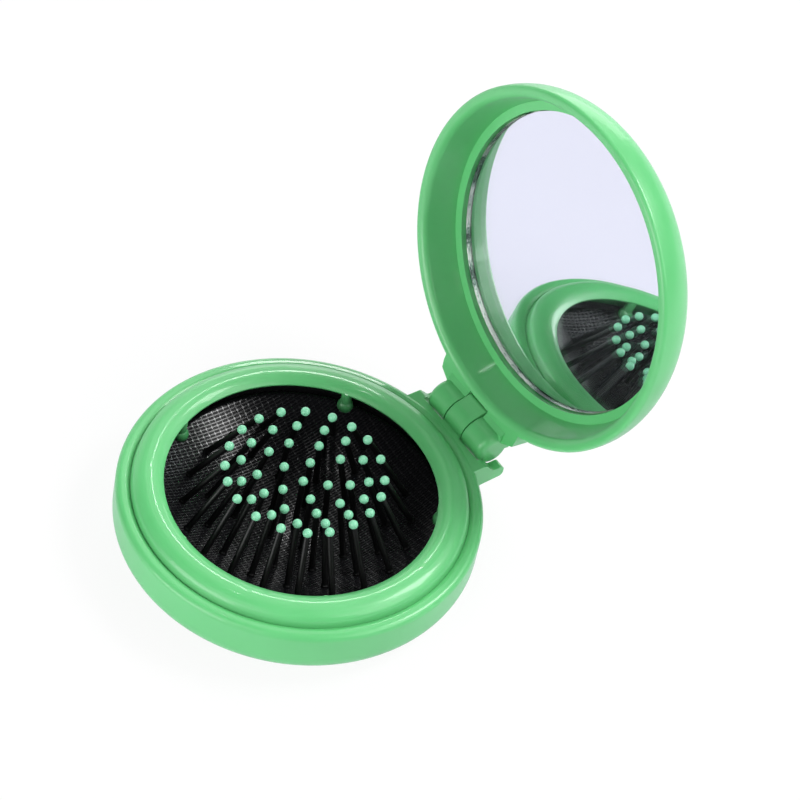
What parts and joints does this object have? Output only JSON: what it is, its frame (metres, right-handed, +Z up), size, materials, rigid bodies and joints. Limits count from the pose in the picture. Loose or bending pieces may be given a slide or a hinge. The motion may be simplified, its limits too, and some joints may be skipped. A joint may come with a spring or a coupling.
{
  "type": "folding hairbrush with mirror",
  "caption": "Round folding hairbrush: green hinged lid with a recessed mirror over a base whose pop-up rubber pad carries leaning ball-tipped pins.",
  "frame": {"origin": "centre of the base's rest face, on the axis of the round base", "axes": "+Z up out of the brush, +Y from the base's centre towards the hinge, +X to the right when looking from the front at the open mirror"},
  "size_m": [0.066, 0.0925, 0.0807],
  "materials": {
    "shell_green": "glossy moulded mint-green plastic",
    "clamp_black": "matt black plastic",
    "pad_rubber": "black rubber with a fine mesh texture",
    "pin_black": "satin black nylon",
    "tip_mint": "glossy mint plastic",
    "pin_steel": "drawn steel wire",
    "mirror_glass": "clear float glass, ground edge",
    "mirror_silver": "silvered",
    "foam": "white adhesive foam",
    "adhesive": "clear adhesive film"
  },
  "bodies": {
    "base": {"base_shell": "shell_green", "bezel_ring": "shell_green", "pad_clamp_ring": "clamp_black", "rubber_pad": "pad_rubber"},
    "pusher": {"push_disc": "shell_green", "pad_adhesive": "adhesive", "pin_centre": "pin_black", "pins_ring_1": "pin_black", "pins_ring_2": "pin_black", "tip_centre": "tip_mint", "tips_ring_1": "tip_mint", "tips_ring_2": "tip_mint"},
    "ring_3": {"pins_ring_3": "pin_black", "tips_ring_3": "tip_mint"},
    "ring_4": {"pins_ring_4": "pin_black", "tips_ring_4": "tip_mint"},
    "lid": {"lid_shell": "shell_green", "mirror_glass": "mirror_glass", "mirror_silver": "mirror_silver", "mirror_foam": "foam", "hinge_pin": "pin_steel"}
  },
  "joints": [
    {"name": "lid_hinge", "type": "hinge", "parent": "base", "child": "lid", "pos_m": [0, 0.0368, 0.01241], "axis": [-1, 0, 0], "range_deg": [-100.7, 79.3]},
    {"name": "brush_pop", "type": "slide", "parent": "base", "child": "pusher", "axis": [0, 0, 1], "range_m": [0, 0.01], "deforming": ["rubber_pad", "pin_centre", "pins_ring_1", "pins_ring_2", "tip_centre", "tips_ring_1", "tips_ring_2"]},
    {"name": "ring_3_follow", "type": "slide", "parent": "base", "child": "ring_3", "axis": [0, 0, 1], "range_m": [0, 0.0084], "deforming": ["pins_ring_3", "tips_ring_3"]},
    {"name": "ring_4_follow", "type": "slide", "parent": "base", "child": "ring_4", "axis": [0, 0, 1], "range_m": [0, 0.0022], "deforming": ["pins_ring_4", "tips_ring_4"]}
  ],
  "couplings": [
    {"joint": "ring_3_follow", "follows": "brush_pop", "ratio": 0.8156},
    {"joint": "ring_4_follow", "follows": "brush_pop", "ratio": 0.2033}
  ]
}
